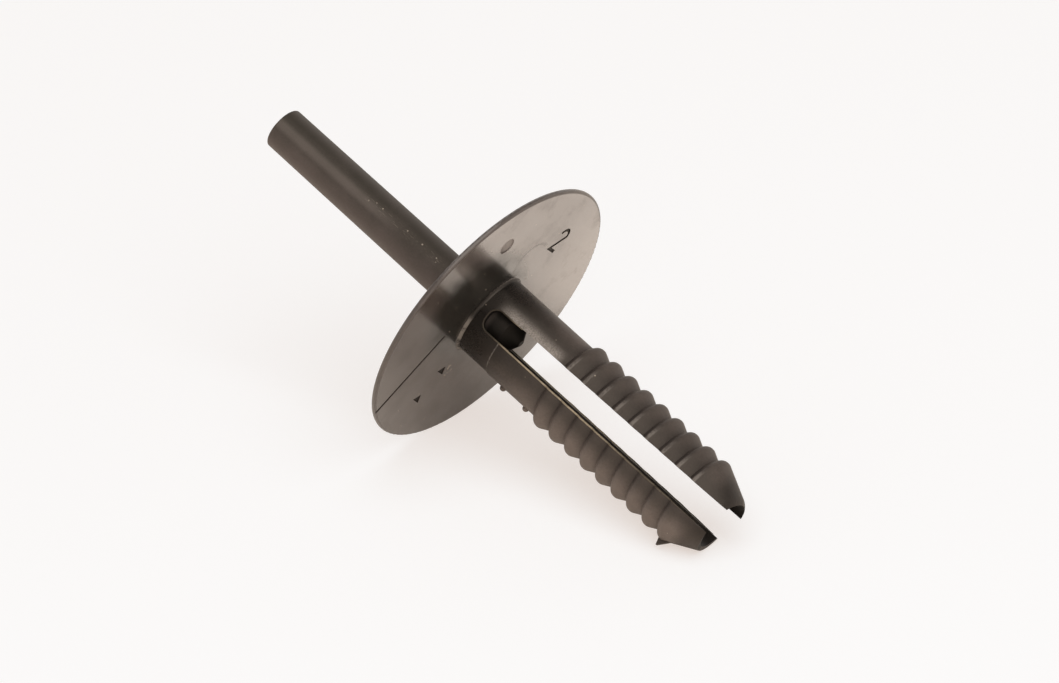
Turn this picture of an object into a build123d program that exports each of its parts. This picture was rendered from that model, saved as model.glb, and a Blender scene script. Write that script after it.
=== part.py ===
from build123d import *
import os
from math import cos, degrees, hypot, radians, sin, tan

# Plastic push rivet: a wide thin flange on a slotted, ribbed shank, and the plain drive pin
# that is pushed through the flange to fill the shank.
#
# Both pieces are made upright on one axis, in millimetres: Z runs from the head towards the
# tip, and Z = 0 is the underside of the flange, the face that meets the panel. X runs across
# the slot, Y runs through it. The shank is oval, shallower through the slot than across it. The
# pair is then laid down as it rests on a table, on the trimmed gate at the flange's rim and on
# the lower leg.

# --- driving dimensions, mm -------------------------------------------------------------------

FLANGE_R = 12.5
FLANGE_T = 0.47
RIM_ROUND = 0.2
ROOT_FILLET = 0.25

OVAL = 0.76                # the shank's depth through the slot over its width across it
NECK_R = 3.57              # half of the neck's width
COLLAR_DEPTH = 0.07        # the lower leg starts with a slightly thinner collar
COLLAR_END = 3.3

RIB_COUNT = 9
RIB_PITCH = 1.775
FIRST_CREST = 9.5
CREST_R = 4.05             # half of the ribs' width
CREST_ROUND = 0.5
STEEP_SIDE = 50.0          # degrees from the axis, the side that faces the head
GENTLE_SIDE = 26.0         # degrees from the axis, the side that leads into the hole
VALLEY_BEFORE_CREST = 0.72

CONE_HALF_ANGLE = 25.2
TIP = 27.25
TIP_ROUND = 1.3            # the ends are domed, and reach the channel with almost no flat left
SKEW_DROP = 0.62           # the lower leg is a little shorter, and cut aslant
SKEW_ANGLE = 7.5

GUIDE_R = 1.98             # straight bore in the head that guides the pin
GUIDE_END = 3.0
MOUTH_R = 2.3              # the pin channel opens out to this at the tip

SLOT_ROOT = 1.0
SLOT_ROOT_HALF = 1.05      # from the axis to either wall of the slot, at its root
SLOT_UPPER_END = 1.3       # and to the upper leg's wall at the tip
SLOT_LOWER_END = 1.1       # and to the lower leg's wall at the tip
SLOT_CORNER = 0.8

PIN_TOP = -23.85           # the pin stands proud of the head before it is driven
PIN_TOP_R = 1.82
PIN_R = 1.93
PIN_SHOULDER = 2.7         # where the blunt cone at its lower end starts
PIN_TIP_R = 0.3
PIN_CONE_HALF_ANGLE = 56.7
PIN_TOP_ROUND = 0.15

MARK_DEPTH = 0.08          # moulded marks on the underside of the flange
DIGIT_STROKE = 0.3
DIGIT_WIDE = 1.2
DIGIT_HIGH = 2.1
DIGIT_AT = (8.15, -1.18)
DIGIT_TURN = -90.0
EJECTOR_R = 0.75
EJECTOR_AT = (5.36, 6.64)
NOTCH_AT = [(-6.12, -0.44), (-9.12, -0.46)]
NOTCH_WIDE = 1.25
NOTCH_HIGH = 0.7
WITNESS_FROM = (-3.42, 4.04)
WITNESS_TO = (-11.90, 4.43)
WITNESS_W = 0.3
WITNESS_DEPTH = 0.05

PIP_R = 0.28               # two specks of flash on the lower leg's parting line
PIP_AT = [5.1, 7.7]
THORN_R = 4.62             # and a thorn of flash beside the last rib
THORN_FROM = 23.45
THORN_TO = 24.8
THORN_PEAK = 23.65
THORN_ROOT_R = 3.3
THORN_THICK = 0.4

GATE_DEPTH = 0.07          # the trimmed gate leaves a flat about 2.7 mm wide on the rim

SLOT_ROLL = 43.8           # degrees that the slot leans from the upright plane at rest
REACH = 20.0               # longer than any cut needs to be
CLEAR = 1.0                # how far a cut runs past the face that it opens
SAME_POINT = 1e-4
TILT_STEP = 1e-6


# --- outlines, as (radius, height) pairs ---------------------------------------------------------

def rib_corners(crest):
    """Sharp corners of one rib: its valley on the head side, and the two ends of its crest."""
    rise = CREST_R - NECK_R
    valley = crest - VALLEY_BEFORE_CREST
    next_valley = valley + RIB_PITCH
    crest_start = valley + rise / tan(radians(STEEP_SIDE))
    crest_end = next_valley - rise / tan(radians(GENTLE_SIDE))
    return (NECK_R, valley), (CREST_R, crest_start), (CREST_R, crest_end)


def last_crest():
    return FIRST_CREST + (RIB_COUNT - 1) * RIB_PITCH


def cone_start():
    """Height of the last rib's sharp lower corner, where the cone of the legs' ends starts."""
    return rib_corners(last_crest())[2][1]


def tip_radius():
    """Sharp outer radius of the legs' ends."""
    return CREST_R - (TIP - cone_start()) * tan(radians(CONE_HALF_ANGLE))


def rounded(face, corners, radius):
    """Fillet the corners of a flat outline that lie at the given points."""
    chosen = [
        v for v in face.vertices()
        if any(hypot(v.X - x, v.Y - y) < SAME_POINT for x, y in corners)
    ]
    return fillet(chosen, radius)


# --- the body: flange and split shank, moulded in one --------------------------------------------

def flange():
    outline = [(0, -FLANGE_T), (FLANGE_R, -FLANGE_T), (FLANGE_R, 0), (0, 0)]
    face = make_face(Polyline(*outline, close=True))
    face = rounded(face, outline[1:3], RIM_ROUND)
    return revolve(Plane.XZ * face, Axis.Z)


def oval(turned):
    """Squeeze a turned shape to the shank's oval section."""
    return scale(turned, by=(1, OVAL, 1))


def ribbed_shank():
    """Neck and ribs, turned from the YZ plane so that the seam of their faces falls in the slot."""
    corners = [(0, -FLANGE_T / 2), (NECK_R, -FLANGE_T / 2)]
    for i in range(RIB_COUNT):
        corners += rib_corners(FIRST_CREST + i * RIB_PITCH)
    corners.append((0, cone_start()))
    face = make_face(Polyline(*corners, close=True))
    for i in range(RIB_COUNT):
        crest = rib_corners(FIRST_CREST + i * RIB_PITCH)[1:]
        last = i == RIB_COUNT - 1
        face = rounded(face, crest[:1] if last else crest, CREST_ROUND)
    return oval(revolve(Plane.YZ * face, Axis.Z))


def cone():
    """The legs' ends before they are split: oval at the last rib, round at the tip."""
    seam_in_slot = Rot(0, 0, 90)
    wide = oval(Pos(0, 0, cone_start()) * seam_in_slot * Circle(CREST_R))
    narrow = Pos(0, 0, TIP) * seam_in_slot * Circle(tip_radius())
    return loft([wide, narrow])


def edges_at(solid, height):
    """The edges of a solid that lie level at the given height."""
    return [
        e for e in solid.edges()
        if abs(e.bounding_box().min.Z - height) < SAME_POINT
        and abs(e.bounding_box().max.Z - height) < SAME_POINT
    ]


def outer_body():
    """Flange, neck, ribs and cone, before anything is cut out of them."""
    shank = ribbed_shank() + cone()
    shank = fillet(edges_at(shank, cone_start()), CREST_ROUND)
    shank = fillet(edges_at(shank, TIP), TIP_ROUND)
    body = flange() + shank
    root = [e for e in edges_at(body, 0) if e.bounding_box().max.X < FLANGE_R / 2]
    return fillet(root, ROOT_FILLET)


def pin_channel():
    """A straight guide bore in the head, then a channel that widens towards the tip."""
    widening = (MOUTH_R - GUIDE_R) / (TIP - GUIDE_END)
    start = -FLANGE_T - CLEAR
    end = TIP + CLEAR
    outline = [
        (0, start),
        (GUIDE_R, start),
        (GUIDE_R, GUIDE_END),
        (MOUTH_R + widening * CLEAR, end),
        (0, end),
    ]
    return revolve(Plane.XZ * make_face(Polyline(*outline, close=True)), Axis.Z)


def slot():
    """The slot that splits the shank, with a rounded root and one wall that leans outwards."""
    past = CLEAR / (TIP - SLOT_ROOT)
    upper = SLOT_UPPER_END + (SLOT_UPPER_END - SLOT_ROOT_HALF) * past
    lower = SLOT_LOWER_END + (SLOT_LOWER_END - SLOT_ROOT_HALF) * past
    end = TIP + CLEAR
    outline = [
        (-SLOT_ROOT_HALF, SLOT_ROOT),
        (SLOT_ROOT_HALF, SLOT_ROOT),
        (upper, end),
        (-lower, end),
    ]
    face = make_face(Polyline(*outline, close=True))
    face = rounded(face, outline[:2], SLOT_CORNER)
    return extrude(Plane.XZ * face, REACH / 2, both=True)


def skewed_end():
    """Everything beyond the aslant end of the lower leg."""
    side = Pos(-REACH / 2, 0, REACH / 2) * Box(REACH, REACH, REACH)
    return Pos(0, 0, TIP - SKEW_DROP) * Rot(SKEW_ANGLE, 0, 0) * side


def collar_skin():
    """The thin layer missing from the start of the lower leg."""
    height = COLLAR_END - ROOT_FILLET
    inner = NECK_R - COLLAR_DEPTH
    oval = extrude(Ellipse(inner, inner * OVAL), height)
    ring = Pos(0, 0, height / 2) * Cylinder(NECK_R + CLEAR, height) - oval
    lower_half = Pos(-REACH / 2, 0, 0) * Box(REACH, REACH, REACH)
    return Pos(0, 0, ROOT_FILLET) * (ring & lower_half)


def thorn():
    """A thin three-cornered thorn of flash, out of the lower leg along the parting line."""
    outline = [
        (-THORN_ROOT_R, THORN_FROM),
        (-CREST_R, THORN_FROM),
        (-THORN_R, THORN_PEAK),
        (-THORN_ROOT_R, THORN_TO),
    ]
    face = make_face(Polyline(*outline, close=True))
    return extrude(Plane.XZ * face, THORN_THICK / 2, both=True)


def sunk(flat, depth=MARK_DEPTH):
    """A flat shape made into a shallow cut in the underside of the flange."""
    return Pos(0, 0, -depth) * extrude(flat, depth + CLEAR)


def digit():
    """A plain figure two, for the mould cavity's number."""
    w = DIGIT_WIDE / 2
    h = DIGIT_HIGH / 2
    bow = ThreePointArc((-w, h / 2), (0, h), (w, h / 2))
    stem = Line((w, h / 2), (-w, -h))
    foot = Line((-w, -h), (w, -h))
    stroke = trace([bow, stem, foot], DIGIT_STROKE)
    return sunk(Pos(*DIGIT_AT) * Rot(0, 0, DIGIT_TURN) * stroke)


def notch(place):
    """A small three-cornered mark that points towards the shank."""
    outline = [(0, -NOTCH_WIDE / 2), (0, NOTCH_WIDE / 2), (NOTCH_HIGH, 0)]
    return sunk(Pos(*place) * make_face(Polyline(*outline, close=True)))


def witness_line():
    """The line that the edge of a mould insert leaves across the flange."""
    return sunk(trace(Line(WITNESS_FROM, WITNESS_TO), WITNESS_W), WITNESS_DEPTH)


def make_body():
    body = outer_body() - pin_channel() - slot() - skewed_end() - collar_skin()
    body -= sunk(Pos(*EJECTOR_AT) * Circle(EJECTOR_R))
    body -= digit()
    body -= witness_line()
    for place in NOTCH_AT:
        body -= notch(place)
    for height in PIP_AT:
        body += Pos(-NECK_R, 0, height) * Sphere(PIP_R)
    return body + thorn()


# --- the drive pin ---------------------------------------------------------------------------------

def make_pin():
    cone_length = (PIN_R - PIN_TIP_R) / tan(radians(PIN_CONE_HALF_ANGLE))
    tip = PIN_SHOULDER + cone_length
    outline = [
        (0, PIN_TOP),
        (PIN_TOP_R, PIN_TOP),
        (PIN_R, PIN_SHOULDER),
        (PIN_TIP_R, tip),
        (0, tip),
    ]
    face = make_face(Polyline(*outline, close=True))
    face = rounded(face, [(PIN_TOP_R, PIN_TOP)], PIN_TOP_ROUND)
    return revolve(Plane.XZ * face, Axis.Z)


# --- laying the rivet down ---------------------------------------------------------------------------

def rest_plane(tilt):
    """Carries the upright pieces to their rest: tip towards +X and down, slot rolled."""
    roll = radians(SLOT_ROLL)
    axis = Vector(cos(tilt), 0, -sin(tilt))
    up = Vector(sin(tilt), 0, cos(tilt))
    across_slot = up * sin(roll) + Vector(0, 1, 0) * cos(roll)
    return Plane(origin=(0, 0, 0), x_dir=across_slot, z_dir=axis)


def lowest(solid, tilt):
    return (rest_plane(tilt) * solid).bounding_box().min.Z


def find_tilt(rim, legs):
    """The tilt, in radians, at which the gate's flat and the legs touch one level plane."""
    low = 0.0
    high = radians(45)
    while high - low > TILT_STEP:
        middle = (low + high) / 2
        if lowest(rim, middle) + GATE_DEPTH < lowest(legs, middle):
            low = middle
        else:
            high = middle
    return low


def main():
    body = make_body()
    legs = body & Pos(0, 0, FLANGE_T + REACH) * Box(2 * REACH, 2 * REACH, 2 * REACH)
    tilt = find_tilt(flange(), legs)
    table = lowest(flange(), tilt) + GATE_DEPTH
    laid_body = rest_plane(tilt) * body
    laid_body -= Pos(0, 0, table - REACH) * Box(4 * REACH, 4 * REACH, 2 * REACH)
    laid = {"rivet_body": laid_body, "drive_pin": rest_plane(tilt) * make_pin()}
    box = laid["rivet_body"].bounding_box().add(laid["drive_pin"].bounding_box())
    to_origin = Pos(-box.center().X, -box.center().Y, -box.min.Z)
    os.makedirs("parts", exist_ok=True)
    for name, piece in laid.items():
        export_step(to_origin * piece, f"parts/{name}.step")
    print("tilt", degrees(tilt), "size", box.size, "flange centre", to_origin.position)


main()
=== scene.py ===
# %% [markdown]
# # A black push rivet on a pale table
# A push rivet holds trim to a car body. Its split, ribbed shank goes into a round hole, and the
# plain pin is pushed through the thin flange to spread the shank. Both pieces come from the CAD
# model, so the shapes and sizes are fixed. What is made here is how they look: the satin black
# plastic, the polished flange, the small faults that moulding leaves, the table and the light.
# Blender counts in metres, so a length in millimetres is multiplied by MM.

# %% Load the CAD pieces
from math import cos, radians, sin

import bpy
from mathutils import Matrix, Vector


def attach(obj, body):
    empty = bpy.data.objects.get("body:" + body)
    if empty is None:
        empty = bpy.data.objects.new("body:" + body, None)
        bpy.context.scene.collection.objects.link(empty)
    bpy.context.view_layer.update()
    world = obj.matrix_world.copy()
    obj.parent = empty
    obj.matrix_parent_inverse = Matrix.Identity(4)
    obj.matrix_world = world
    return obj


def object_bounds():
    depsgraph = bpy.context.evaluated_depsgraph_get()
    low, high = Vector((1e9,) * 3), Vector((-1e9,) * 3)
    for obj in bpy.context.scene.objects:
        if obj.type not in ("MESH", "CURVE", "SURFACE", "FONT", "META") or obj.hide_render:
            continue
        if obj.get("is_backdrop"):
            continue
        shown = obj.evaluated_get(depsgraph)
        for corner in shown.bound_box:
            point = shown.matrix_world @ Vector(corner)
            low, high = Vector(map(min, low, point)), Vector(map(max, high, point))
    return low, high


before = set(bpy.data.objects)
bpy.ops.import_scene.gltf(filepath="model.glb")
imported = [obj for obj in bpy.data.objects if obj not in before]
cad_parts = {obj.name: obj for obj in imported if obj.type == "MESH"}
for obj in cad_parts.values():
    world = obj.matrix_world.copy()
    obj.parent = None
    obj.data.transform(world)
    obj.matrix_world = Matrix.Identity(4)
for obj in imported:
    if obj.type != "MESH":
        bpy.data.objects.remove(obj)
cad_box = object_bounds()
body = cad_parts["rivet_body"]
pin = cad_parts["drive_pin"]
scene = bpy.context.scene
MM = 0.001
print("body faces", len(body.data.polygons), "pin faces", len(pin.data.polygons))

# %% [markdown]
# ## The rivet's own axes
# The rivet lies aslant, on the trimmed gate at its flange's rim and on its lower leg. It could be
# stood upright to work on it, but the CAD pieces have to stay where they are. So three
# directions are worked out, as on the CAD drawing: x runs across the slot, y through it, and z
# from the head to the tip, with zero at the middle of the flange's underside.

# %% Axes of the resting rivet
TILT = radians(20.1208)
SLOT_ROLL = radians(43.8)
FLANGE_CENTRE = Vector((-1.56642, 0, 11.61052)) * MM
SHANK_LENGTH = 27.25

tipward = Vector((cos(TILT), 0, -sin(TILT)))
upright = Vector((sin(TILT), 0, cos(TILT)))
across_slot = upright * sin(SLOT_ROLL) + Vector((0, 1, 0)) * cos(SLOT_ROLL)
through_slot = tipward.cross(across_slot)


def along(point, axis):
    """How far a point lies along one of the rivet's axes, in mm."""
    return (point - FLANGE_CENTRE).dot(axis) / MM


print("the tip is at", FLANGE_CENTRE + tipward * SHANK_LENGTH * MM)

# %% [markdown]
# ## The camera
# A small part like this is best seen from well away through a long lens, so that its near and
# far ends come out the same size. The camera could be aimed with a constraint. Its three
# directions are worked out instead, because it also leans a little to one side.

# %% Camera
CAMERA_TURN = radians(43.747)
CAMERA_RISE = radians(32.816)
CAMERA_ROLL = radians(-1.161)
CAMERA_AWAY = 1.5
SENSOR_WIDTH = 36
FRAME_WIDTH = 84.389 * MM
FAR_END = 10
LOOK_AT = Vector((0, 0, 11.0)) * MM
LOOK_RIGHT = 2.1179 * MM
LOOK_DOWN = 1.1055 * MM

to_camera = Vector((
    cos(CAMERA_RISE) * sin(CAMERA_TURN),
    -cos(CAMERA_RISE) * cos(CAMERA_TURN),
    sin(CAMERA_RISE),
))
level = Vector((cos(CAMERA_TURN), sin(CAMERA_TURN), 0))
above = to_camera.cross(level)
right = level * cos(CAMERA_ROLL) + above * sin(CAMERA_ROLL)
up = above * cos(CAMERA_ROLL) - level * sin(CAMERA_ROLL)

camera = bpy.data.objects.new("camera", bpy.data.cameras.new("camera"))
scene.collection.objects.link(camera)
turn = Matrix((right, up, to_camera)).transposed()
aim = LOOK_AT + right * LOOK_RIGHT - up * LOOK_DOWN
camera.matrix_world = Matrix.Translation(aim + to_camera * CAMERA_AWAY) @ turn.to_4x4()
camera.data.sensor_width = SENSOR_WIDTH
camera.data.lens = SENSOR_WIDTH * CAMERA_AWAY / FRAME_WIDTH
camera.data.clip_end = FAR_END
scene.camera = camera
print("lens", round(camera.data.lens, 1), "mm")

# %% [markdown]
# ## The lamps
# One soft lamp hangs almost straight above, a little towards the camera. It draws part of the
# bright band along the shank; beside the slot on the upper leg that band is also a painted
# highlight. A second, much weaker one beyond the tip fills the shadows from the side, and lights
# the flange's underside. Point lamps would be simpler, but they draw hard shadows and small, sharp
# highlights. Wide disks draw soft ones.

# %% Lamps
LAMP_RADIUS = 0.42
LAMP_PLACE = (0.23, -0.13, 0.6)
LAMP_POWER = 2.9
LAMP_COLOUR = (1, 0.97, 0.93)
FILL_RADIUS = 0.40
FILL_PLACE = (0.85, -0.2, 0.5)
FILL_POWER = 0.4

scene.view_settings.view_transform = "Standard"


def soft_lamp(name, place, radius, power):
    """A round lamp that shines at the rivet and isn't seen itself."""
    lamp = bpy.data.lights.new(name, "AREA")
    lamp.shape = "DISK"
    lamp.size = radius * 2
    lamp.energy = power
    lamp.color = LAMP_COLOUR
    holder = bpy.data.objects.new(name, lamp)
    holder.location = place
    holder.rotation_mode = "QUATERNION"
    holder.rotation_quaternion = Vector(place).to_track_quat("Z", "Y")
    holder.visible_camera = False
    scene.collection.objects.link(holder)
    print(name, "shines with", power, "W")


soft_lamp("lamp_above", LAMP_PLACE, LAMP_RADIUS, LAMP_POWER)
soft_lamp("lamp_beyond_tip", FILL_PLACE, FILL_RADIUS, FILL_POWER)

# %% [markdown]
# ## Shader nodes in few words
# Every finish below is a tree of shader nodes. Each node could be added and joined by hand, in
# three or four lines. A small class does it in one, so that a finish reads like a recipe. What
# goes into a socket may be a number, a colour, or the output of another node.

# %% A short way to add nodes
class Nodes:
    """A short way to add shader nodes to one tree and to join them."""

    def __init__(self, tree):
        self.tree = tree

    def add(self, kind, inputs=None, **settings):
        node = self.tree.nodes.new("ShaderNode" + kind)
        for name, value in settings.items():
            setattr(node, name, value)
        for name, value in (inputs or {}).items():
            self.feed(node.inputs[name], value)
        return node

    def feed(self, socket, value):
        if isinstance(value, bpy.types.NodeSocket):
            self.tree.links.new(value, socket)
        else:
            socket.default_value = value

    def maths(self, operation, *values):
        node = self.add("Math", operation=operation)
        for socket, value in zip(node.inputs, values):
            self.feed(socket, value)
        return node.outputs[0]

    def product(self, first, *others):
        """Several values multiplied together."""
        for value in others:
            first = self.maths("MULTIPLY", first, value)
        return first

    def off(self, value, middle):
        """How far a value is from a middle one, on either side."""
        return self.maths("ABSOLUTE", self.maths("SUBTRACT", value, middle))

    def distance(self, x, y):
        """How far the point x, y is from zero."""
        flat = self.add("CombineXYZ", {0: x, 1: y})
        return self.add("VectorMath", {0: flat.outputs[0]}, operation="LENGTH").outputs["Value"]

    def ramp(self, value, reach, levels=(0.0, 1.0), smooth=True):
        """Carry a value from one range to another, with soft ends."""
        kind = "SMOOTHSTEP" if smooth else "LINEAR"
        node = self.add("MapRange", interpolation_type=kind)
        for socket, number in zip(node.inputs, (value, *reach, *levels)):
            self.feed(socket, number)
        return node.outputs[0]

    def spread(self, mask, levels):
        """Carry a mask of 0 to 1 to another range, in a straight line."""
        return self.ramp(mask, (0, 1), levels, smooth=False)

    def mix(self, factor, first, second):
        """Mix two colours, which go into the node's sockets 6 and 7."""
        node = self.add("Mix", data_type="RGBA")
        self.feed(node.inputs[0], factor)
        self.feed(node.inputs[6], first)
        self.feed(node.inputs[7], second)
        return node.outputs[2]


print("nodes can", ", ".join(word for word in vars(Nodes) if word[0] != "_"))

# %% [markdown]
# ## The room
# The room around the rivet is pale, and paler near the horizon than overhead. A panorama of a
# real room could light it too, but it would put windows into the flange's mirror. A plain ramp
# from low to high keeps the reflections quiet.

# %% Room
ROOM_COLOUR = (1, 0.97, 0.94, 1)
ROOM_FADE = (0.05, 0.65)
ROOM_LOW = 0.8
ROOM_HIGH = 0.22

room = bpy.data.worlds.new("pale_room")
scene.world = room
room.use_nodes = True
room.node_tree.nodes.clear()
world = Nodes(room.node_tree)
direction = world.add("TexCoord").outputs["Generated"]
height = world.add("SeparateXYZ", {"Vector": direction}).outputs["Z"]
strength = world.ramp(height, ROOM_FADE, (ROOM_LOW, ROOM_HIGH))
glow = world.add("Background", {"Color": ROOM_COLOUR, "Strength": strength})
world.add("OutputWorld", {"Surface": glow.outputs[0]})
print("the room glows from", ROOM_LOW, "low down to", ROOM_HIGH, "overhead")

# %% [markdown]
# ## The table
# The table is lit so well that it looks nearly white, and only the deepest shadows still show.
# A plain white surface under a plain light would show too much shadow, so for the camera a part
# of its white is steady, and the rest is a surface that takes the shadow. The glossy flange sees
# it in the same way, a little warmer. For all other light it is a plain white surface.

# %% Table
SEEN_STEADY = (0.676, 0.593, 0.541, 1)
SEEN_SHADED = (0.377, 0.48, 0.56, 1)
MIRRORED_STEADY = (0.05, 0.045, 0.04, 1)
MIRRORED_SHADED = (0.98, 0.91, 0.84, 1)
TABLE_WHITE = (0.93, 0.87, 0.80, 1)
TABLE_HALF = 1.5


def new_material(name):
    material = bpy.data.materials.new(name)
    material.use_nodes = True
    material.node_tree.nodes.clear()
    return material, Nodes(material.node_tree)


def part_steady(nodes, steady, shaded):
    """A surface of which only a part takes the shadow."""
    glow = nodes.add("Emission", {"Color": steady})
    surface = nodes.add("BsdfDiffuse", {"Color": shaded})
    both = nodes.add("AddShader")
    nodes.feed(both.inputs[0], glow.outputs[0])
    nodes.feed(both.inputs[1], surface.outputs[0])
    return both.outputs[0]


table_material, nodes = new_material("pale_table")
seen = part_steady(nodes, SEEN_STEADY, SEEN_SHADED)
mirrored = part_steady(nodes, MIRRORED_STEADY, MIRRORED_SHADED)
surface = nodes.add("BsdfDiffuse", {"Color": TABLE_WHITE}).outputs[0]
path = nodes.add("LightPath")
for chance, shader in (("Is Glossy Ray", mirrored), ("Is Camera Ray", seen)):
    choice = nodes.add("MixShader")
    nodes.feed(choice.inputs[0], path.outputs[chance])
    nodes.feed(choice.inputs[1], surface)
    nodes.feed(choice.inputs[2], shader)
    surface = choice.outputs[0]
nodes.add("OutputMaterial", {"Surface": surface})

corners = [(x * TABLE_HALF, y * TABLE_HALF, 0) for x, y in ((-1, -1), (1, -1), (1, 1), (-1, 1))]
mesh = bpy.data.meshes.new("table")
mesh.from_pydata(corners, [], [(0, 1, 2, 3)])
mesh.materials.append(table_material)
table = bpy.data.objects.new("table", mesh)
scene.collection.objects.link(table)
table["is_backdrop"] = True
print("table is", TABLE_HALF * 2, "m wide")

# %% [markdown]
# ## A place on the plastic
# The rivet is moulded from black nylon, and its tone, gloss and faults change from place to
# place. They could be painted on a map, but then the pieces would have to be unwrapped, and the
# map painted again after every change. Nodes only need to know where a point is. The looks that
# more than one material needs are node groups, made once and placed in each material with its
# own values. The first one gives a point's place in millimetres along the rivet's own axes.

# %% The rivet's axes as a node group
def new_group(name, inputs, outputs):
    """An empty shader node group, with its inputs as (name, kind, value) and its outputs."""
    tree = bpy.data.node_groups.new(name, "ShaderNodeTree")
    for title, kind, value in inputs:
        socket = tree.interface.new_socket(title, in_out="INPUT", socket_type="NodeSocket" + kind)
        socket.default_value = value
    for title, kind in outputs:
        tree.interface.new_socket(title, in_out="OUTPUT", socket_type="NodeSocket" + kind)
    into = tree.nodes.new("NodeGroupInput")
    out = tree.nodes.new("NodeGroupOutput")
    return Nodes(tree), into.outputs, out.inputs


def axes_group():
    kinds = [("Across Slot", "Float"), ("Through Slot", "Float"), ("Along", "Float")]
    nodes, _, out = new_group("rivet_axes", [], kinds + [("Place", "Vector")])
    spot = nodes.add("TexCoord").outputs["Object"]
    moved = nodes.add("VectorMath", {0: spot, 1: FLANGE_CENTRE}, operation="SUBTRACT")
    reaches = []
    for axis in (across_slot, through_slot, tipward):
        settings = {0: moved.outputs[0], 1: axis / MM}
        reach = nodes.add("VectorMath", settings, operation="DOT_PRODUCT")
        reaches.append(reach.outputs["Value"])
    for socket, reach in zip(out, reaches):
        nodes.feed(socket, reach)
    joined = nodes.add("CombineXYZ", dict(zip(range(3), reaches)))
    nodes.feed(out["Place"], joined.outputs[0])
    return nodes.tree


RIVET_AXES = axes_group()
print("made", RIVET_AXES.name)

# %% [markdown]
# ## Mottling
# Moulded plastic is never one even tone. A single noise would look either like clouds or like
# sand, so a cloudy and a grainy one are mixed.

# %% Mottling as a node group
NOISE_REACH = (0.25, 0.75)


def mottle_group():
    inputs = [
        ("Place", "Vector", (0, 0, 0)),
        ("Cloud Size", "Float", 2.0),
        ("Grain Size", "Float", 0.2),
        ("Grain Share", "Float", 0.5),
    ]
    nodes, into, out = new_group("mottle", inputs, [("Mottle", "Float")])
    masks = []
    for size in ("Cloud Size", "Grain Size"):
        scale = nodes.maths("DIVIDE", 1.0, into[size])
        look = {"Vector": into["Place"], "Scale": scale, "Detail": 3.0, "Roughness": 0.6}
        noise = nodes.add("TexNoise", look).outputs["Fac"]
        masks.append(nodes.ramp(noise, NOISE_REACH))
    blend = nodes.add("Mix", {0: into["Grain Share"], 2: masks[0], 3: masks[1]})
    nodes.feed(out["Mottle"], blend.outputs[0])
    return nodes.tree


MOTTLE = mottle_group()
print("made", MOTTLE.name)

# %% [markdown]
# ## Dust
# Pale dust sits on a small black part that has been handled. Its grains could be scattered as
# tiny pieces, but they are too small to show a shape. They are specks from a Voronoi pattern, of
# which only a share of the cells is kept, and each speck has a size of its own.

# %% Dust as a node group
def dust_group():
    inputs = [
        ("Place", "Vector", (0, 0, 0)),
        ("Spacing", "Float", 0.8),
        ("Size", "Float", 0.08),
        ("Share", "Float", 0.2),
    ]
    nodes, into, out = new_group("dust_specks", inputs, [("Dust", "Float")])
    scale = nodes.maths("DIVIDE", 1.0, into["Spacing"])
    cells = nodes.add("TexVoronoi", {"Vector": into["Place"], "Scale": scale})
    chance = nodes.add("SeparateColor", {"Color": cells.outputs["Color"]})
    size = nodes.product(into["Size"], chance.outputs[1])
    in_cells = nodes.maths("DIVIDE", size, into["Spacing"])
    near = nodes.maths("LESS_THAN", cells.outputs["Distance"], in_cells)
    kept = nodes.maths("LESS_THAN", chance.outputs[0], into["Share"])
    nodes.feed(out["Dust"], nodes.product(near, kept))
    return nodes.tree


DUST = dust_group()
print("made", DUST.name)

# %% [markdown]
# ## Scuffs
# A pin is scuffed along its length, where it slides. Fine scratches could be drawn one by one as
# curves. A noise that is stretched along the axis gives as many streaks as are wanted, and only
# its highest places are kept. The larger their share, the lower a kept place may be.

# %% Scuffs as a node group
SCUFF_LEVEL = 0.8
SCUFF_LOWERED = 0.4
SCUFF_EDGE = 8.0


def scuff_group():
    inputs = [
        ("Place", "Vector", (0, 0, 0)),
        ("Width", "Float", 0.1),
        ("Length", "Float", 1.5),
        ("Share", "Float", 0.3),
    ]
    nodes, into, out = new_group("scuffs", inputs, [("Scuffs", "Float")])
    across = nodes.maths("DIVIDE", 1.0, into["Width"])
    lengthwise = nodes.maths("DIVIDE", 1.0, into["Length"])
    stretch = nodes.add("CombineXYZ", {0: across, 1: across, 2: lengthwise})
    spot = nodes.add("VectorMath", {0: into["Place"], 1: stretch.outputs[0]}, operation="MULTIPLY")
    look = {"Vector": spot.outputs[0], "Scale": 1.0, "Detail": 2.0}
    streaks = nodes.add("TexNoise", look).outputs["Fac"]
    lowered = nodes.product(into["Share"], SCUFF_LOWERED)
    level = nodes.maths("SUBTRACT", SCUFF_LEVEL, lowered)
    depth = nodes.product(nodes.maths("SUBTRACT", streaks, level), SCUFF_EDGE)
    nodes.feed(out["Scuffs"], nodes.maths("MAXIMUM", nodes.maths("MINIMUM", depth, 1.0), 0.0))
    return nodes.tree


SCUFFS = scuff_group()
print("made", SCUFFS.name)

# %% [markdown]
# ## Putting a plastic together
# Every finish below starts from the same shader, with the rivet's axes at hand. One material with
# many inputs could serve them all, but nobody could read it. So each finish builds its own
# colour, roughness and fine relief from these parts. The tint makes the highlights of the black
# plastic warmer than the lamps, like the light that the table throws back.

# %% One plastic's nodes
HIGHLIGHT_TINT = (1, 0.86, 0.74, 1)
PALE_DUST = (0.42, 0.35, 0.28, 1)


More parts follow.
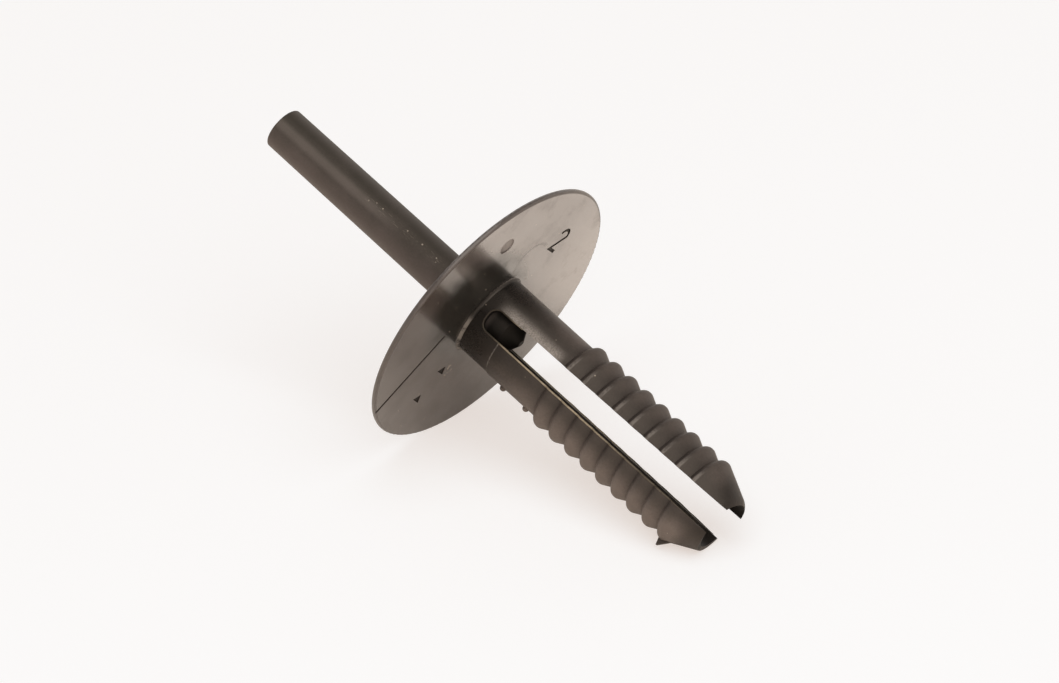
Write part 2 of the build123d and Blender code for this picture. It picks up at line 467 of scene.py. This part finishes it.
class Plastic:
    """A new plastic: its shader, and the place of the shaded point along the rivet's axes."""

    def __init__(self, name, **fixed):
        self.material, self.nodes = new_material(name)
        axes = self.nodes.add("Group", node_tree=RIVET_AXES).outputs
        self.x, self.y, self.z, self.place = (axes[i] for i in range(4))
        settings = {"Specular Tint": HIGHLIGHT_TINT}
        settings.update({key.replace("_", " "): value for key, value in fixed.items()})
        self.shader = self.nodes.add("BsdfPrincipled", settings)
        self.nodes.add("OutputMaterial", {"Surface": self.shader.outputs[0]})

    def group(self, tree, values):
        """Place a node group at the shaded point, and give what it puts out."""
        inputs = {"Place": self.place, **values}
        return self.nodes.add("Group", inputs, node_tree=tree).outputs[0]

    def mottle(self, cloud, grain, grain_share):
        values = {"Cloud Size": cloud, "Grain Size": grain, "Grain Share": grain_share}
        return self.group(MOTTLE, values)

    def patches(self, cloud, grain, grain_share, reach, least=0.0):
        """Mottling with more contrast, from its least value to 1, to break up a mask."""
        return self.nodes.ramp(self.mottle(cloud, grain, grain_share), reach, (least, 1.0))

    def dust(self, spacing, size, share):
        return self.group(DUST, {"Spacing": spacing, "Size": size, "Share": share})

    def scuffs(self, width, length, share):
        return self.group(SCUFFS, {"Width": width, "Length": length, "Share": share})

    def feed(self, name, value):
        self.nodes.feed(self.shader.inputs[name], value)

    def relief(self, height, depth):
        """Fine relief, with its depth in mm."""
        bump = self.nodes.add("Bump", {"Height": height, "Distance": depth * MM})
        self.feed("Normal", bump.outputs[0])


print("the highlights' tint is", HIGHLIGHT_TINT[:3])

# %% [markdown]
# ## Light and dark on the shank
# The grooves between the ribs are painted darker, as painted shade where little light gets in,
# and the crests a little paler. The outside of each leg is painted paler, as painted light, most
# of all on the lower one. Blender can find hollows and edges by itself, but this model has to look
# the same in other programs too. So this painted light and shade is worked out from the distance
# to the axis, and from x.

# %% Tone of the shank
OVAL = 0.76
NECK_END = (8.0, 9.0)
GROOVE_TO_CREST = (3.2, 3.9)
NECK_AND_GROOVE_SHADE = (1.1, 0.3)
CREST_SHADE = 1.15
CONE = (22.5, 26.5)
CONE_NARROWS = (1.0, 1.4)
LOWER_LIT_REACH = (-3.8, -1.6)
LOWER_TONE = (1.0, 0.22)
UPPER_LIT_REACH = (2.2, 3.6)
UPPER_DARKEST = 0.155
UPPER_CROWN = (0.65, 0.38)


def rib_painted_shade(plastic):
    """Painted shade: darker at the bottom of the grooves between the ribs, but not on the neck."""
    nodes = plastic.nodes
    from_axis = nodes.distance(plastic.x, nodes.maths("DIVIDE", plastic.y, OVAL))
    lowest = nodes.ramp(plastic.z, NECK_END, NECK_AND_GROOVE_SHADE)
    return nodes.ramp(from_axis, GROOVE_TO_CREST, (lowest, CREST_SHADE))


def leg_painted_light(plastic):
    """Painted light: paler towards the outside of each leg."""
    nodes = plastic.nodes
    on_cone = nodes.ramp(plastic.z, CONE, CONE_NARROWS, smooth=False)
    outward = nodes.product(plastic.x, on_cone)
    lower = nodes.ramp(outward, LOWER_LIT_REACH, LOWER_TONE)
    crown = nodes.ramp(plastic.z, NECK_END, UPPER_CROWN)
    upper = nodes.ramp(outward, UPPER_LIT_REACH, (UPPER_DARKEST, crown))
    is_upper = nodes.maths("GREATER_THAN", plastic.x, 0.0)
    return nodes.spread(is_upper, (lower, upper))


print("the grooves are darkest within", GROOVE_TO_CREST[0], "mm of the axis")

# %% [markdown]
# ## Worn places and painted light on the shank
# The upper leg is worn grey and grainy along one edge of the slot, and the same band is a painted
# highlight where the bright band of light lies. Each of its ribs has a pale line there, a painted
# highlight on the rib. The collar of the lower leg ends in a pale line too. The thorn of flash on
# the lower leg is painted dark, as painted shade. Each of them could be a piece of mesh with its
# own plastic, but they have no edges of their own. They are masks: ramps along the rivet's axes,
# multiplied together.

# %% Masks of the worn places and of the painted light
WORN_AND_LIT_ACROSS = (1.25, 2.2)
WORN_AND_LIT_ALONG = ((1.0, 2.8), (8.6, 7.6))
COLLAR_END = 3.3
COLLAR_LINE_HALF = 0.09
COLLAR_BELOW = -1.0
FIRST_GROOVE = 8.80
RIB_STEP = 1.775
RIBS = 9
LINE_START = (0.28, 0.42)
LINE_END = (0.74, 0.60)
LINE_ACROSS = (2.9, 1.6)
THORN_OUT = (-3.3, -3.6)
THORN_ALONG = (23.2, 23.5)
THORN_EDGE = (0.3, 0.22)


def above_zero(nodes, *values):
    """A mask for each value, which is 1 where the value is above zero."""
    return [nodes.maths("GREATER_THAN", value, 0.0) for value in values]


def worn_band_and_highlight(plastic):
    """The grainy grey wear beside the slot, on the near side of the upper leg, also a painted
    highlight.
    """
    nodes = plastic.nodes
    grains = plastic.patches(cloud=0.6, grain=0.10, grain_share=0.8, reach=(0.1, 0.9), least=0.45)
    across = nodes.ramp(plastic.x, WORN_AND_LIT_ACROSS, (1.0, 0.0))
    ends = [nodes.ramp(plastic.z, reach) for reach in WORN_AND_LIT_ALONG]
    return nodes.product(across, *ends, *above_zero(nodes, plastic.x, plastic.y), grains)


def collar_line(plastic):
    """The pale line where the lower leg's collar ends."""
    nodes = plastic.nodes
    off = nodes.off(plastic.z, COLLAR_END)
    line = nodes.ramp(off, (COLLAR_LINE_HALF, COLLAR_LINE_HALF / 2))
    broken = plastic.patches(cloud=0.7, grain=0.2, grain_share=0.3, reach=(0.25, 0.6))
    return nodes.product(line, broken, nodes.maths("LESS_THAN", plastic.x, COLLAR_BELOW))


def groove_painted_highlight(plastic):
    """A painted highlight: the pale line beside each groove, near the slot's edge."""
    nodes = plastic.nodes
    past = nodes.maths("SUBTRACT", plastic.z, FIRST_GROOVE)
    step = nodes.maths("MODULO", past, RIB_STEP)
    line = nodes.product(nodes.ramp(step, LINE_START), nodes.ramp(step, LINE_END))
    on_ribs = nodes.maths("LESS_THAN", past, RIB_STEP * RIBS)
    across = nodes.ramp(plastic.x, LINE_ACROSS)
    near = above_zero(nodes, past, plastic.x, plastic.y)
    broken = plastic.patches(cloud=0.8, grain=0.2, grain_share=0.3, reach=(0.2, 0.6), least=0.4)
    return nodes.product(line, on_ribs, across, *near, broken)


def thorn(plastic):
    """The thorn of flash on the lower leg's parting line, painted dark as shade."""
    nodes = plastic.nodes
    out = nodes.ramp(plastic.x, THORN_OUT)
    thin = nodes.ramp(nodes.maths("ABSOLUTE", plastic.y), THORN_EDGE)
    return nodes.product(out, nodes.ramp(plastic.z, THORN_ALONG), thin)


print(RIBS, "pale lines,", RIB_STEP, "mm apart")

# %% [markdown]
# ## Neck, ribs and cone
# The neck is dark and glossy close to the flange, and dust shows on it there. Its dark colour
# there is also painted shade from the flange. Towards the ribs the plastic turns duller and
# lighter. A parting line runs along the crown of each leg, where the two halves of the mould met.
# Neck, ribs and cone could have a plastic each, but the change is gradual, so one plastic follows
# z. The worn places, painted highlights and painted shade are laid over its colour one by one,
# each with a strength of its own.

# %% Plastic of the shank
DARK_NYLON = (0.013, 0.0105, 0.009, 1)
LIGHT_NYLON = (0.187, 0.147, 0.127, 1)
WORN_AND_LIT_GREY = (0.42, 0.37, 0.33, 1)
DULL_AND_UNSHADED_FROM = (1.0, 9.0)
TONE_SWING = (-0.25, 0.25)
EVEN_WHERE_GLOSSY = ((0, 0.4), (0.05, 1.0))
SEAM_HALF = 0.05
DUSTY_FROM = (9.0, 3.0)
DUST_SHARE = (0.05, 0.20)
SHANK_ROUGHNESS = (0.27, 0.46)
ROUGHNESS_SWING = (-0.04, 0.06)
WORN_ROUGHER = 0.25


def shank_plastic():
    plastic = Plastic("black_nylon")
    nodes = plastic.nodes
    mottle = plastic.mottle(cloud=2.2, grain=0.18, grain_share=0.45)
    # Darker near the flange: duller plastic there, and painted shade from the flange.
    dull_and_unshaded = nodes.ramp(plastic.z, DULL_AND_UNSHADED_FROM)
    swing = nodes.spread(mottle, TONE_SWING)
    shade = nodes.maths("ADD", dull_and_unshaded, nodes.product(swing, nodes.ramp(dull_and_unshaded, *EVEN_WHERE_GLOSSY)))
    shade = nodes.product(shade, rib_painted_shade(plastic), leg_painted_light(plastic))
    colour = nodes.mix(nodes.maths("MAXIMUM", shade, 0.0), DARK_NYLON, LIGHT_NYLON)
    worn_and_lit = worn_band_and_highlight(plastic)
    seam = nodes.ramp(nodes.maths("ABSOLUTE", plastic.y), (SEAM_HALF * 2, SEAM_HALF))
    # The worn band is also a painted highlight, the groove lines are painted highlights, and the
    # thorn is painted shade.
    layers = (
        (worn_and_lit, 0.85, WORN_AND_LIT_GREY),
        (collar_line(plastic), 0.4, WORN_AND_LIT_GREY),
        (groove_painted_highlight(plastic), 0.4, WORN_AND_LIT_GREY),
        (thorn(plastic), 0.8, DARK_NYLON),
        (seam, 0.2, PALE_DUST),
    )
    for mask, strength, tone in layers:
        colour = nodes.mix(nodes.product(mask, strength), colour, tone)
    dust_share = nodes.ramp(plastic.z, DUSTY_FROM, DUST_SHARE)
    dust = plastic.dust(spacing=0.55, size=0.08, share=dust_share)
    plastic.feed("Base Color", nodes.mix(dust, colour, PALE_DUST))
    rough = nodes.ramp(plastic.z, DULL_AND_UNSHADED_FROM, SHANK_ROUGHNESS)
    rough = nodes.maths("ADD", rough, nodes.spread(mottle, ROUGHNESS_SWING))
    plastic.feed("Roughness", nodes.maths("ADD", rough, nodes.product(worn_and_lit, WORN_ROUGHER)))
    plastic.relief(nodes.maths("ADD", nodes.product(mottle, dull_and_unshaded), seam), depth=0.012)
    return plastic.material


black_nylon = shank_plastic()
print("made", black_nylon.name)

# %% [markdown]
# ## The root of the shank
# A small fillet joins the shank to the flange. On the lower leg it is scuffed pale. It could be
# one more mask on the shank, but it has faces of its own in the CAD model, so it gets a plastic
# of its own that ends exactly at their edges.

# %% Plastic of the root fillet
ROOT_SCUFFED = (0.21, 0.18, 0.155, 1)
LOWER_ROOT = (-0.5, -1.6)
UPPER_ROOT = (0.8, 1.6)
UPPER_ROOT_TONE = (0.0, 0.10)


def root_plastic():
    plastic = Plastic("root_fillet", Roughness=0.35)
    nodes = plastic.nodes
    lower = nodes.ramp(plastic.x, LOWER_ROOT)
    upper = nodes.ramp(plastic.x, UPPER_ROOT, UPPER_ROOT_TONE)
    broken = plastic.patches(cloud=1.2, grain=0.15, grain_share=0.25, reach=(0.1, 0.6))
    scuffed = nodes.product(nodes.maths("MAXIMUM", lower, upper), broken)
    plastic.feed("Base Color", nodes.mix(scuffed, DARK_NYLON, ROOT_SCUFFED))
    return plastic.material


root_fillet = root_plastic()
print("made", root_fillet.name)

# %% [markdown]
# ## Marks in the flange's haze
# The flange's underside is clean and dark near the shank and hazy further out, and its dark there
# is also painted shade and a painted reflection of the shank. A faint flow line curves from the
# cavity's number towards the shank, where two streams of plastic met. Beside the first notch the
# face was nicked, and white crumbs of plastic lie there. The face is flat, so all three could be
# drawn on a flat map. Their distance from a point on the face is enough.

# %% Distances on the flange's face
HUB_SHADE_Y = 3.0
HUB_NARROW = 1.4
FLOW_CENTRE = (5.39, 0.65)
FLOW_R = 1.82
FLOW_EDGE = (0.22, 0.05)
FLOW_FADE = (0.05, 0.55)
NICK_AT = (-5.6, -1.25)
NICK_R = 0.62


def flange_distance(plastic, centre):
    """Distance in mm from a point of the flange's face, along the face."""
    nodes = plastic.nodes
    x = nodes.maths("SUBTRACT", plastic.x, centre[0])
    return nodes.distance(x, nodes.maths("SUBTRACT", plastic.y, centre[1]))


def hub_distance(plastic):
    """Distance in mm from the clean patch beside the shank, which is narrow across the slot; its
    dark is also painted shade and reflection.
    """
    nodes = plastic.nodes
    x = nodes.product(plastic.x, HUB_NARROW)
    return nodes.distance(x, nodes.maths("SUBTRACT", plastic.y, HUB_SHADE_Y))


def flow_line(plastic):
    """A part of a circle, which fades out on one side."""
    nodes = plastic.nodes
    line = nodes.ramp(nodes.off(flange_distance(plastic, FLOW_CENTRE), FLOW_R), FLOW_EDGE)
    return nodes.product(line, nodes.ramp(plastic.y, FLOW_FADE))


def nicked_patch(plastic):
    """White crumbs, thick as dust, in a small round patch."""
    nodes = plastic.nodes
    near = nodes.maths("LESS_THAN", flange_distance(plastic, NICK_AT), NICK_R)
    return nodes.product(near, plastic.dust(spacing=0.22, size=0.16, share=0.7))


print("the flow line's circle is", FLOW_R * 2, "mm across")

# %% [markdown]
# ## The flange's underside
# The flange came off a polished face of the mould, so it mirrors the table and the shank. Away
# from the shank it is hazy and stained in soft clouds, and much paler towards one side of the
# face, where the colour is a painted reflection of the bright table. The mirror could come from a
# low roughness alone, but the strength of a coat can change from place to place, and the haze
# shows through it. The clouds are in the colour, in the roughness and in the coat, so that the
# mirror itself is uneven. The ejector mark was left by a rougher pin: it is the same plastic, but
# rougher and with hardly any coat.

# %% Plastic of the polished flange
CLEAN_AND_SHADED = (0.028, 0.025, 0.021, 1)
HAZE = (0.100, 0.076, 0.066, 1)
PAINTED_TABLE_REFLECTION = (0.330, 0.280, 0.255, 1)
PALEST_TABLE_REFLECTION = (0.560, 0.485, 0.445, 1)
STAIN = (0.045, 0.030, 0.024, 1)
HAZE_FROM = (5.0, 8.5)
TABLE_REFLECTION_ACROSS = (1.0, 6.0)
PALEST_REFLECTION_ALONG = (1.0, -8.0)
CLOUD_SWING = (-0.5, 0.5)
CLOUDS_MOVE_HAZE = 2.0
CLOUDS_STAIN = -0.8
FLOW_TINT = 0.5
COAT_FROM = (4.2, 6.2)
HUB_COAT = 0.13
SHINE_ACROSS = (-6.0, 3.0)
SHINE_LEVELS = (0.57, 1.0)
COAT_SWING = (0.75, 1.2)
FLOW_DULLS = 0.14
DUST_DULLS = 0.8


def flange_plastic(name, roughness, coat_far):
    plastic = Plastic(name, IOR=1.5, Coat_Roughness=0.17, Coat_IOR=3.4)
    nodes = plastic.nodes
    clouds = plastic.mottle(cloud=3.6, grain=0.3, grain_share=0.2)
    swing = nodes.spread(clouds, CLOUD_SWING)
    away = nodes.maths("ADD", hub_distance(plastic), nodes.product(swing, CLOUDS_MOVE_HAZE))
    # Paler towards one side of the face: a painted reflection of the bright table.
    table_reflection = nodes.mix(nodes.ramp(plastic.y, PALEST_REFLECTION_ALONG), PAINTED_TABLE_REFLECTION, PALEST_TABLE_REFLECTION)
    haze_and_reflection = nodes.mix(nodes.ramp(plastic.x, TABLE_REFLECTION_ACROSS), HAZE, table_reflection)
    # Darker near the shank: clean plastic, and painted shade and reflection of the shank.
    colour = nodes.mix(nodes.ramp(away, HAZE_FROM), CLEAN_AND_SHADED, haze_and_reflection)
    stain = nodes.maths("MAXIMUM", nodes.product(swing, CLOUDS_STAIN), 0.0)
    colour = nodes.mix(stain, colour, STAIN)
    flow = flow_line(plastic)
    colour = nodes.mix(nodes.product(flow, FLOW_TINT), colour, STAIN)
    dust = plastic.dust(spacing=0.5, size=0.08, share=0.2)
    specks = nodes.maths("MAXIMUM", dust, nicked_patch(plastic))
    plastic.feed("Base Color", nodes.mix(specks, colour, PALE_DUST))
    plastic.feed("Roughness", nodes.spread(clouds, roughness))
    far = nodes.product(nodes.ramp(plastic.x, SHINE_ACROSS, SHINE_LEVELS), coat_far)
    coat = nodes.ramp(away, COAT_FROM, (HUB_COAT, far))
    coat = nodes.product(coat, nodes.spread(clouds, COAT_SWING))
    for mask, strength in ((flow, FLOW_DULLS), (specks, DUST_DULLS)):
        coat = nodes.maths("SUBTRACT", coat, nodes.product(mask, strength))
    plastic.feed("Coat Weight", coat)
    plastic.relief(clouds, depth=0.003)
    return plastic.material


polished_flange = flange_plastic("polished_flange", roughness=(0.15, 0.22), coat_far=0.87)
ejector_mark = flange_plastic("ejector_mark", roughness=(0.35, 0.55), coat_far=0.10)
print("made", polished_flange.name, "and", ejector_mark.name)

# %% [markdown]
# ## The rim and the head's top
# The other half of the mould was not polished, so the head's top and the rim are satin. A rough
# plastic alone would look chalky. The coat is less rough, and stands for the skin that plastic
# gets where it touches cool steel. One mottle drives colour, roughness and relief, so that they
# change together.

# %% Plastic of the rim and the head's top
RIM_DARK = (0.045, 0.034, 0.031, 1)
RIM_PALE = (0.095, 0.072, 0.065, 1)
RIM_ROUGHNESS = (0.40, 0.52)


def rim_plastic():
    plastic = Plastic("matt_rim", IOR=1.7, Coat_Roughness=0.25, Coat_IOR=1.6, Coat_Weight=0.8)
    nodes = plastic.nodes
    mottle = plastic.mottle(cloud=1.5, grain=0.15, grain_share=0.4)
    plastic.feed("Base Color", nodes.mix(mottle, RIM_DARK, RIM_PALE))
    plastic.feed("Roughness", nodes.spread(mottle, RIM_ROUGHNESS))
    plastic.relief(mottle, depth=0.006)
    return plastic.material


matt_rim = rim_plastic()
print("made", matt_rim.name)

# %% [markdown]
# ## The marks' floors
# The digit, the notches and the witness line are sunk into the flange, and their floors are dull
# and darker than the face. A bump map could pretend the depth, but the marks are real hollows of
# the CAD model. Only their floors need a plastic, and it is nearly black.

# %% Plastic of the marks' floors
MARK_DARK = (0.008, 0.0065, 0.0055, 1)
MARK_PALE = (0.02, 0.016, 0.013, 1)
MARK_ROUGHNESS = (0.5, 0.7)


def mark_plastic():
    plastic = Plastic("mark_floor")
    nodes = plastic.nodes
    mottle = plastic.mottle(cloud=0.5, grain=0.1, grain_share=0.5)
    plastic.feed("Base Color", nodes.mix(mottle, MARK_DARK, MARK_PALE))
    plastic.feed("Roughness", nodes.spread(mottle, MARK_ROUGHNESS))
    return plastic.material


mark_floor = mark_plastic()
print("made", mark_floor.name)

# %% [markdown]
# ## Inside the slot
# The walls of the slot and of the pin's channel are never touched, so they keep their moulded
# skin and gather dust. Hardly any light should reach them near the slot's root and in the hollow
# at the tip. Smaller lamps would leave them darker, but would spoil the soft light on everything
# else, so the plastic itself is darker there.

# %% Plastic of the slot's walls
WALL_DARK = (0.005, 0.004, 0.0035, 1)
WALL_PALE = (0.07, 0.058, 0.047, 1)
WALL_ROUGHNESS = (0.45, 0.58)
DARK_ENDS = ((2.5, 7.0), (26.0, 24.0))
DARK_END_LEVELS = (0.1, 1.0)


def wall_plastic():
    plastic = Plastic("slot_wall")
    nodes = plastic.nodes
    mottle = plastic.mottle(cloud=1.2, grain=0.12, grain_share=0.5)
    ends = [nodes.ramp(plastic.z, reach, DARK_END_LEVELS) for reach in DARK_ENDS]
    plastic.feed("Base Color", nodes.mix(nodes.product(mottle, *ends), WALL_DARK, WALL_PALE))
    plastic.feed("Roughness", nodes.spread(mottle, WALL_ROUGHNESS))
    return plastic.material


slot_wall = wall_plastic()
print("made", slot_wall.name)

# %% [markdown]
# ## The drive pin
# The pin is duller than the body. One side is painted paler, as painted light, and its edges as a
# painted sheen. A pale stripe is rubbed along its free end. Most of its scuffs and dust lie in a
# streak where it rubs in its guide, and its blunt lower end, deep in the slot's root, is painted
# black as shade. A pattern that wraps all around would be simpler, but the stripe and the painted
# light lie on one side only. The stripes are masks across the pin that fade out along it.

# %% Plastic of the pin
PIN_DARK = (0.036, 0.030, 0.024, 1)
PIN_PALE_AND_LIT = (0.130, 0.101, 0.091, 1)
PIN_RUBBED_AND_SHEEN = (0.45, 0.38, 0.34, 1)
PIN_PAINTED_SHADE = (0.004, 0.0035, 0.003, 1)
PIN_ROUGHNESS = (0.50, 0.60)
LIT_SIDE = (1.25, -1.9)
LIT_SIDE_TONE = (0.0, 0.8)
PIN_TONE_SWING = (-0.16, 0.20)
PIN_EDGES = (1.0, 1.85)
PIN_EDGE_SHEEN = (0.0, 0.13)
STRIPE_RUBBED = 0.14
SCUFFS_PALE = 0.3
SHADED_TIP_FROM = (0.8, 1.6)


def pin_stripe(plastic, middle, edge, along_pin):
    """A stripe that runs along the pin and fades out between two heights."""
    nodes = plastic.nodes
    across = nodes.ramp(nodes.off(plastic.x, middle), edge)
    return nodes.product(across, nodes.ramp(plastic.z, along_pin))


def pin_plastic():
    plastic = Plastic("scuffed_pin")
    nodes = plastic.nodes
    mottle = plastic.mottle(cloud=2.5, grain=0.15, grain_share=0.4)
    # One side is painted paler: painted light.
    side = nodes.ramp(plastic.x, LIT_SIDE, LIT_SIDE_TONE)
    side = nodes.maths("ADD", side, nodes.spread(mottle, PIN_TONE_SWING))
    colour = nodes.mix(nodes.maths("MAXIMUM", side, 0.0), PIN_DARK, PIN_PALE_AND_LIT)
    stripe = pin_stripe(plastic, middle=0.2, edge=(0.6, 0.1), along_pin=(-9.0, -13.5))
    # The edges are painted paler: a painted sheen. The stripe is real rubbing.
    edges = nodes.ramp(nodes.maths("ABSOLUTE", plastic.x), PIN_EDGES, PIN_EDGE_SHEEN)
    rubbed = nodes.maths("MAXIMUM", nodes.product(stripe, STRIPE_RUBBED), edges)
    colour = nodes.mix(rubbed, colour, PIN_RUBBED_AND_SHEEN)
    streak = pin_stripe(plastic, middle=0.55, edge=(0.5, 0.1), along_pin=(-15.0, -12.0))
    scuffs = nodes.product(plastic.scuffs(width=0.06, length=0.6, share=0.55), streak)
    colour = nodes.mix(nodes.product(scuffs, SCUFFS_PALE), colour, PALE_DUST)
    in_streak = nodes.product(plastic.dust(spacing=0.3, size=0.08, share=0.4), streak)
    dust = nodes.maths("MAXIMUM", plastic.dust(spacing=0.8, size=0.08, share=0.14), in_streak)
    colour = nodes.mix(dust, colour, PALE_DUST)
    # The blunt lower end is painted black: painted shade in the slot's root.
    colour = nodes.mix(nodes.ramp(plastic.z, SHADED_TIP_FROM), colour, PIN_PAINTED_SHADE)
    plastic.feed("Base Color", colour)
    plastic.feed("Roughness", nodes.spread(mottle, PIN_ROUGHNESS))
    plastic.relief(nodes.maths("SUBTRACT", mottle, scuffs), depth=0.008)
    return plastic.material


scuffed_pin = pin_plastic()
print("made", scuffed_pin.name)

# %% [markdown]
# ## The way along the slot's edge
# Where the two halves of the mould closed on the slot, a fine rounded lip of flash was squeezed
# out along its edges. The way that it takes could be picked from the mesh by hand, but it would
# be lost with the next change of the CAD model. So the slot's outline is walked in small steps:
# down the upper leg, round the slot's root, and along the lower leg. From each step a ray finds
# the body's outer surface.

# %% Walk along the slot's outline
SLOT_ROOT = 1.0
SLOT_CORNER = 0.8
CORNER_STEPS = 6
SLOT_ROOT_HALF = 1.05
SLOT_LOWER_END = 1.1
LIP_UPPER_END = 4.4
LIP_LOWER_END = 26.0
STEP = 0.12
WELL_OUTSIDE = 6


def slot_outline():
    """Points (x, z) on the slot's edge, each with the way out of the slot, from the upper leg."""
    start = SLOT_ROOT + SLOT_CORNER
    points = []
    for i in range(int((LIP_UPPER_END - start) / STEP), 0, -1):
        points.append((SLOT_ROOT_HALF, start + i * STEP, 1, 0))
    flat = SLOT_ROOT_HALF - SLOT_CORNER
    turns = [radians(90 * i / CORNER_STEPS) for i in range(CORNER_STEPS + 1)]
    for side, corner in ((1, turns), (-1, turns[::-1])):
        for a in corner:
            x = side * (flat + SLOT_CORNER * cos(a))
            points.append((x, start - SLOT_CORNER * sin(a), side * cos(a), -sin(a)))
    for i in range(1, int((LIP_LOWER_END - start) / STEP)):
        z = start + i * STEP
        lean = (SLOT_LOWER_END - SLOT_ROOT_HALF) * (z - SLOT_ROOT) / (SHANK_LENGTH - SLOT_ROOT)
        points.append((-SLOT_ROOT_HALF - lean, z, -1, 0))
    return points


def place(x, y, z):
    """A point given in mm along the rivet's axes, in the scene's metres."""
    return FLANGE_CENTRE + (across_slot * x + through_slot * y + tipward * z) * MM


def surface_point(x, z, side):
    """Where the body's outer surface is, coming in from one side."""
    hit, point, _, _ = body.ray_cast(place(x, WELL_OUTSIDE * side, z), through_slot * -side)
    return point if hit else None


print("steps along the slot:", len(slot_outline()))

# %% [markdown]
# ## The flash's colour
# The flash is lighter than the rest, because it is thin and rubbed, and its pale colour is also
# painted light on the lit strip along the slot's edge. It draws a pale line along the lower leg,
# which fades towards the tip and, as painted shade, into the dark of the slot's root. The fading
# could be cut into short pieces of other plastics, but a ramp along z leaves no steps.

# %% Plastic of the lip
LIP_DARK = (0.02, 0.016, 0.012, 1)
LIP_PALE_AND_LIT = (0.45, 0.36, 0.25, 1)
FADES_TO_TIP = ((12.0, 20.0), (1.0, 0.22))
SHADED_AT_ROOT = ((2.4, 4.6), (0.06, 1.0))


def lip_plastic():
    plastic = Plastic("lit_pale_flash", Roughness=0.42)
    nodes = plastic.nodes
    # The pale colour is also painted light on the slot's lit edge, and it fades as painted shade
    # into the slot's root.
    ends = [nodes.ramp(plastic.z, *fade) for fade in (FADES_TO_TIP, SHADED_AT_ROOT)]
    broken = plastic.patches(cloud=1.0, grain=0.2, grain_share=0.4, reach=(0.1, 0.7), least=0.6)
    plastic.feed("Base Color", nodes.mix(nodes.product(*ends, broken), LIP_DARK, LIP_PALE_AND_LIT))
    return plastic.material


lit_pale_flash = lip_plastic()
print("made", lit_pale_flash.name)

# %% [markdown]
# ## The lip of flash
# The lip is sunk a little into the body, so that only its crown stands out. It could be swept as
# a mesh, but a curve with a round section can also thin out towards its ends, as real flash
# does. There is one lip on the body's near side and one on its far side, and both move with it.

# %% Make the lip
LIP_R = 0.075
LIP_SUNK = 0.03
LIP_INWARD = 0.05
LIP_THINNEST = 0.15
STEPS_TO_SWELL = 12
STEPS_TO_FADE = 40


def make_lip(name, side):
    curve = bpy.data.curves.new(name, "CURVE")
    curve.dimensions = "3D"
    curve.bevel_depth = LIP_R * MM
    curve.bevel_resolution = 2
    curve.use_fill_caps = True
    found = []
    for x, z, out_x, out_z in slot_outline():
        point = surface_point(x + out_x * LIP_SUNK, z + out_z * LIP_SUNK, side)
        if point:
            inward = (across_slot * out_x + tipward * out_z) * -LIP_INWARD
            found.append(point + (inward - through_slot * side * LIP_SUNK) * MM)
    line = curve.splines.new("POLY")
    line.points.add(len(found) - 1)
    for i, (point, spot) in enumerate(zip(line.points, found)):
        left = len(found) - 1 - i
        point.co = (*spot, 1)
        point.radius = min(1.0, LIP_THINNEST + min(i / STEPS_TO_SWELL, left / STEPS_TO_FADE))
    curve.materials.append(lit_pale_flash)
    lip = bpy.data.objects.new(name, curve)
    scene.collection.objects.link(lip)
    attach(lip, "body")
    print(name, "has", len(found), "points")


make_lip("slot_lip_near", 1)
make_lip("slot_lip_far", -1)

# %% [markdown]
# ## Which face gets which plastic
# Every finish ends at a real edge of the part. The faces could be picked by hand, but they would
# have to be picked again after every change of the CAD model. Instead, they are sorted by where
# they lie along the rivet's axes, and by the way that they face.

# %% Sort the faces
FLANGE_R = 12.5
HEAD_TOP = -0.47
RIM_WIDTH = 0.25
UNDERSIDE = 0.01
MARKS_BELOW = -0.02
HUB_R = 3.0
EJECTOR_AT = (5.36, 6.64)
EJECTOR_REACH = 0.9
FACING_TIP = 0.9
ROOT_ALONG = (0.02, 0.26)
ROOT_AWAY = (2.3, 4.2)
FACING_SLOT = 0.95
SLOT_REACH = 1.5

finishes = [
    black_nylon, root_fillet, polished_flange, ejector_mark, matt_rim, mark_floor, slot_wall
]
SHANK, ROOT, FLANGE, EJECTOR, RIM, MARK, WALL = range(len(finishes))


def on_flange(x, y, z, normal_z):
    """The finish of a face on the flange, between the shank and the rim."""
    from_ejector = ((x - EJECTOR_AT[0]) ** 2 + (y - EJECTOR_AT[1]) ** 2) ** 0.5
    facing_tip = normal_z > FACING_TIP and z < UNDERSIDE
    if facing_tip and z > MARKS_BELOW:
        return FLANGE
    if z > HEAD_TOP / 2 and from_ejector < EJECTOR_REACH:
        return EJECTOR
    return MARK if facing_tip else RIM


def finish_of(face):
    axes = (across_slot, through_slot, tipward)
    x, y, z = (along(face.center, axis) for axis in axes)
    normal_x, normal_y, normal_z = (face.normal.dot(axis) for axis in axes)
    away = (x * x + y * y) ** 0.5
    if away > FLANGE_R - RIM_WIDTH and z < UNDERSIDE:
        return RIM
    if away > HUB_R and z < ROOT_ALONG[0]:
        return on_flange(x, y, z, normal_z)
    if ROOT_AWAY[0] < away < ROOT_AWAY[1] and z < ROOT_ALONG[1]:
        return ROOT
    outward = normal_x * x + normal_y * y / OVAL ** 2
    beside_slot = abs(normal_x) > FACING_SLOT and abs(x) < SLOT_REACH
    return WALL if outward < 0 or beside_slot else SHANK


for piece, plastics in ((body, finishes), (pin, [scuffed_pin])):
    piece.data.materials.clear()
    for plastic in plastics:
        piece.data.materials.append(plastic)
counts = [0] * len(finishes)
for face in body.data.polygons:
    face.material_index = finish_of(face)
    counts[face.material_index] += 1
print("faces by plastic:", dict(zip((finish.name for finish in finishes), counts)))

# %% [markdown]
# ## The last check
# Whatever was added has to stay within the size of the CAD model. That could be judged by eye,
# but a box around all pieces, measured before and after, also finds what is too small to see.

# %% Measure both boxes and finish
boxes = {"cad": cad_box, "visual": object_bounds()}
gaps = [abs(a - b) / MM for corners in zip(*boxes.values()) for a, b in zip(*corners)]
print("the boxes differ by", round(max(gaps), 4), "mm at most")
